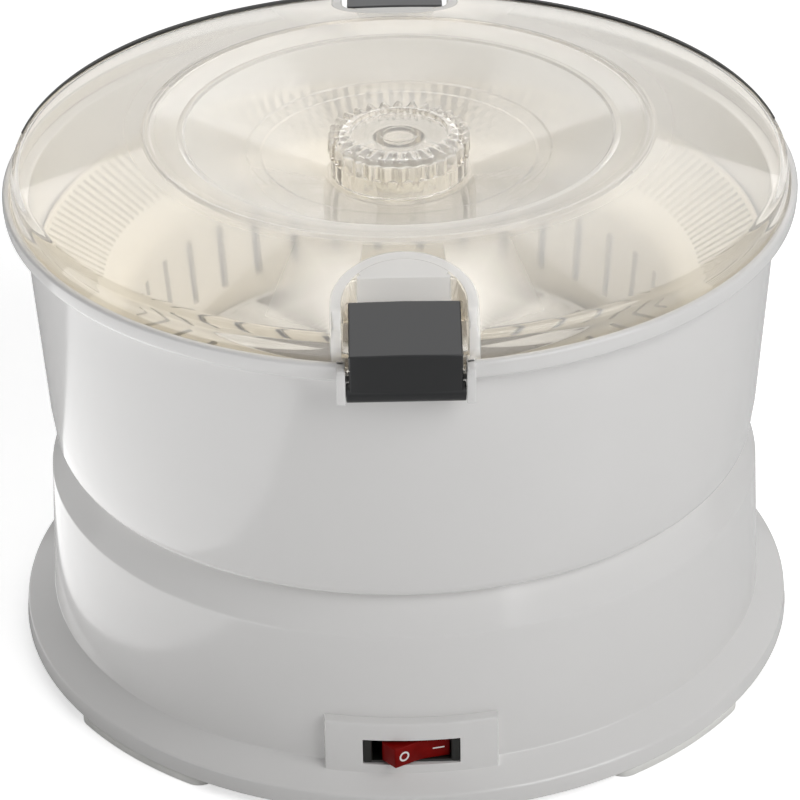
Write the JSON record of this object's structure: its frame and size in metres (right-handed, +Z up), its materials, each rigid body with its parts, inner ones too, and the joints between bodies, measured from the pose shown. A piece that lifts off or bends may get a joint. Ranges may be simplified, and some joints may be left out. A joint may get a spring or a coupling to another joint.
{
  "type": "electric potato peeler",
  "caption": "Electric potato peeler: motor base, lift-off bowl with a turning abrasive disc, clear clipped lid with a knob, and a rocker switch.",
  "frame": {"origin": "on the ground under the middle of the base", "axes": "+Z up along the drive shaft, -Y towards the switch and the front clip, +X to the right when facing the switch"},
  "size_m": [0.259, 0.2616, 0.1794],
  "materials": {
    "white_abs": "satin moulded ABS",
    "cream_abs": "satin moulded plastic",
    "clear_plastic": "polished clear plastic",
    "charcoal_plastic": "satin dark plastic",
    "black_plastic": "satin black plastic",
    "red_plastic": "glossy translucent red",
    "grey_rubber": "matt soft rubber",
    "steel": "plated steel",
    "lamination_steel": "stacked electrical steel",
    "copper": "enamelled copper",
    "brass": "sintered bronze and brass",
    "nylon": "natural nylon",
    "grit": "coarse abrasive grit"
  },
  "bodies": {
    "base": {"base_housing": "white_abs", "base_cover": "white_abs", "cover_screws": "steel", "foot_pads": "grey_rubber", "switch_body": "black_plastic", "switch_terminals": "brass", "cord_gland": "black_plastic", "gland_nut": "nylon", "terminal_block": "nylon", "supply_leads": "nylon", "motor_stator": "lamination_steel", "motor_coil": "copper", "motor_bracket_upper": "steel", "motor_bracket_lower": "steel", "motor_bushes": "brass", "motor_bolts": "steel", "motor_screws": "steel", "shaft_bush_upper": "brass", "shaft_bush_lower": "brass", "thrust_washer": "nylon"},
    "rotor": {"rotor_core": "lamination_steel", "motor_shaft": "steel", "motor_pinion": "brass", "cooling_fan": "nylon"},
    "drive": {"drive_gear": "nylon", "drive_shaft": "steel", "drive_head": "steel", "shaft_circlip": "steel"},
    "rocker": {"switch_rocker": "red_plastic"},
    "bowl": {"bowl": "white_abs", "peel_drum": "cream_abs", "clip_pins": "steel"},
    "disc": {"peeling_disc": "white_abs", "abrasive_sheet": "grit", "disc_hub": "white_abs", "hub_screws": "steel"},
    "lid": {"lid": "clear_plastic", "knob_washer": "nylon"},
    "knob": {"knob": "clear_plastic", "knob_retainer": "steel"},
    "front_clip": {"clip_front": "charcoal_plastic"},
    "rear_clip": {"clip_rear": "charcoal_plastic"}
  },
  "joints": [
    {"name": "bowl_lift", "type": "slide", "parent": "base", "child": "bowl", "axis": [0, 0, 1], "range_m": [0, 0.06]},
    {"name": "lid_lift", "type": "slide", "parent": "bowl", "child": "lid", "axis": [0, 0, 1], "range_m": [0, 0.0174]},
    {"name": "knob_turn", "type": "hinge", "parent": "lid", "child": "knob", "pos_m": [0, 0, 0.165], "axis": [0, 0, 1], "range_deg": [0, 90]},
    {"name": "front_clip_swing", "type": "hinge", "parent": "bowl", "child": "front_clip", "pos_m": [0, -0.1276, 0.1536], "axis": [1, 0, 0], "range_deg": [0, 120]},
    {"name": "rear_clip_swing", "type": "hinge", "parent": "bowl", "child": "rear_clip", "pos_m": [0, 0.1276, 0.1536], "axis": [-1, 0, 0], "range_deg": [0, 120]},
    {"name": "drive_spin", "type": "hinge", "parent": "base", "child": "drive", "pos_m": [0, 0, 0.054], "axis": [0, 0, 1], "continuous": true},
    {"name": "rotor_spin", "type": "hinge", "parent": "base", "child": "rotor", "pos_m": [-0.048, 0, 0.03], "axis": [0, 0, 1], "continuous": true},
    {"name": "disc_spin", "type": "hinge", "parent": "bowl", "child": "disc", "pos_m": [0, 0, 0.08], "axis": [0, 0, 1], "continuous": true},
    {"name": "switch_rock", "type": "hinge", "parent": "base", "child": "rocker", "pos_m": [0, -0.1138, 0.0208], "axis": [0, 0, -1], "range_deg": [0, 44]}
  ],
  "couplings": [
    {"joint": "front_clip_swing", "follows": "lid_lift", "rad_per_m": 120},
    {"joint": "rear_clip_swing", "follows": "lid_lift", "rad_per_m": 120},
    {"joint": "rotor_spin", "follows": "drive_spin", "ratio": -5},
    {"joint": "disc_spin", "follows": "drive_spin", "ratio": 1}
  ]
}
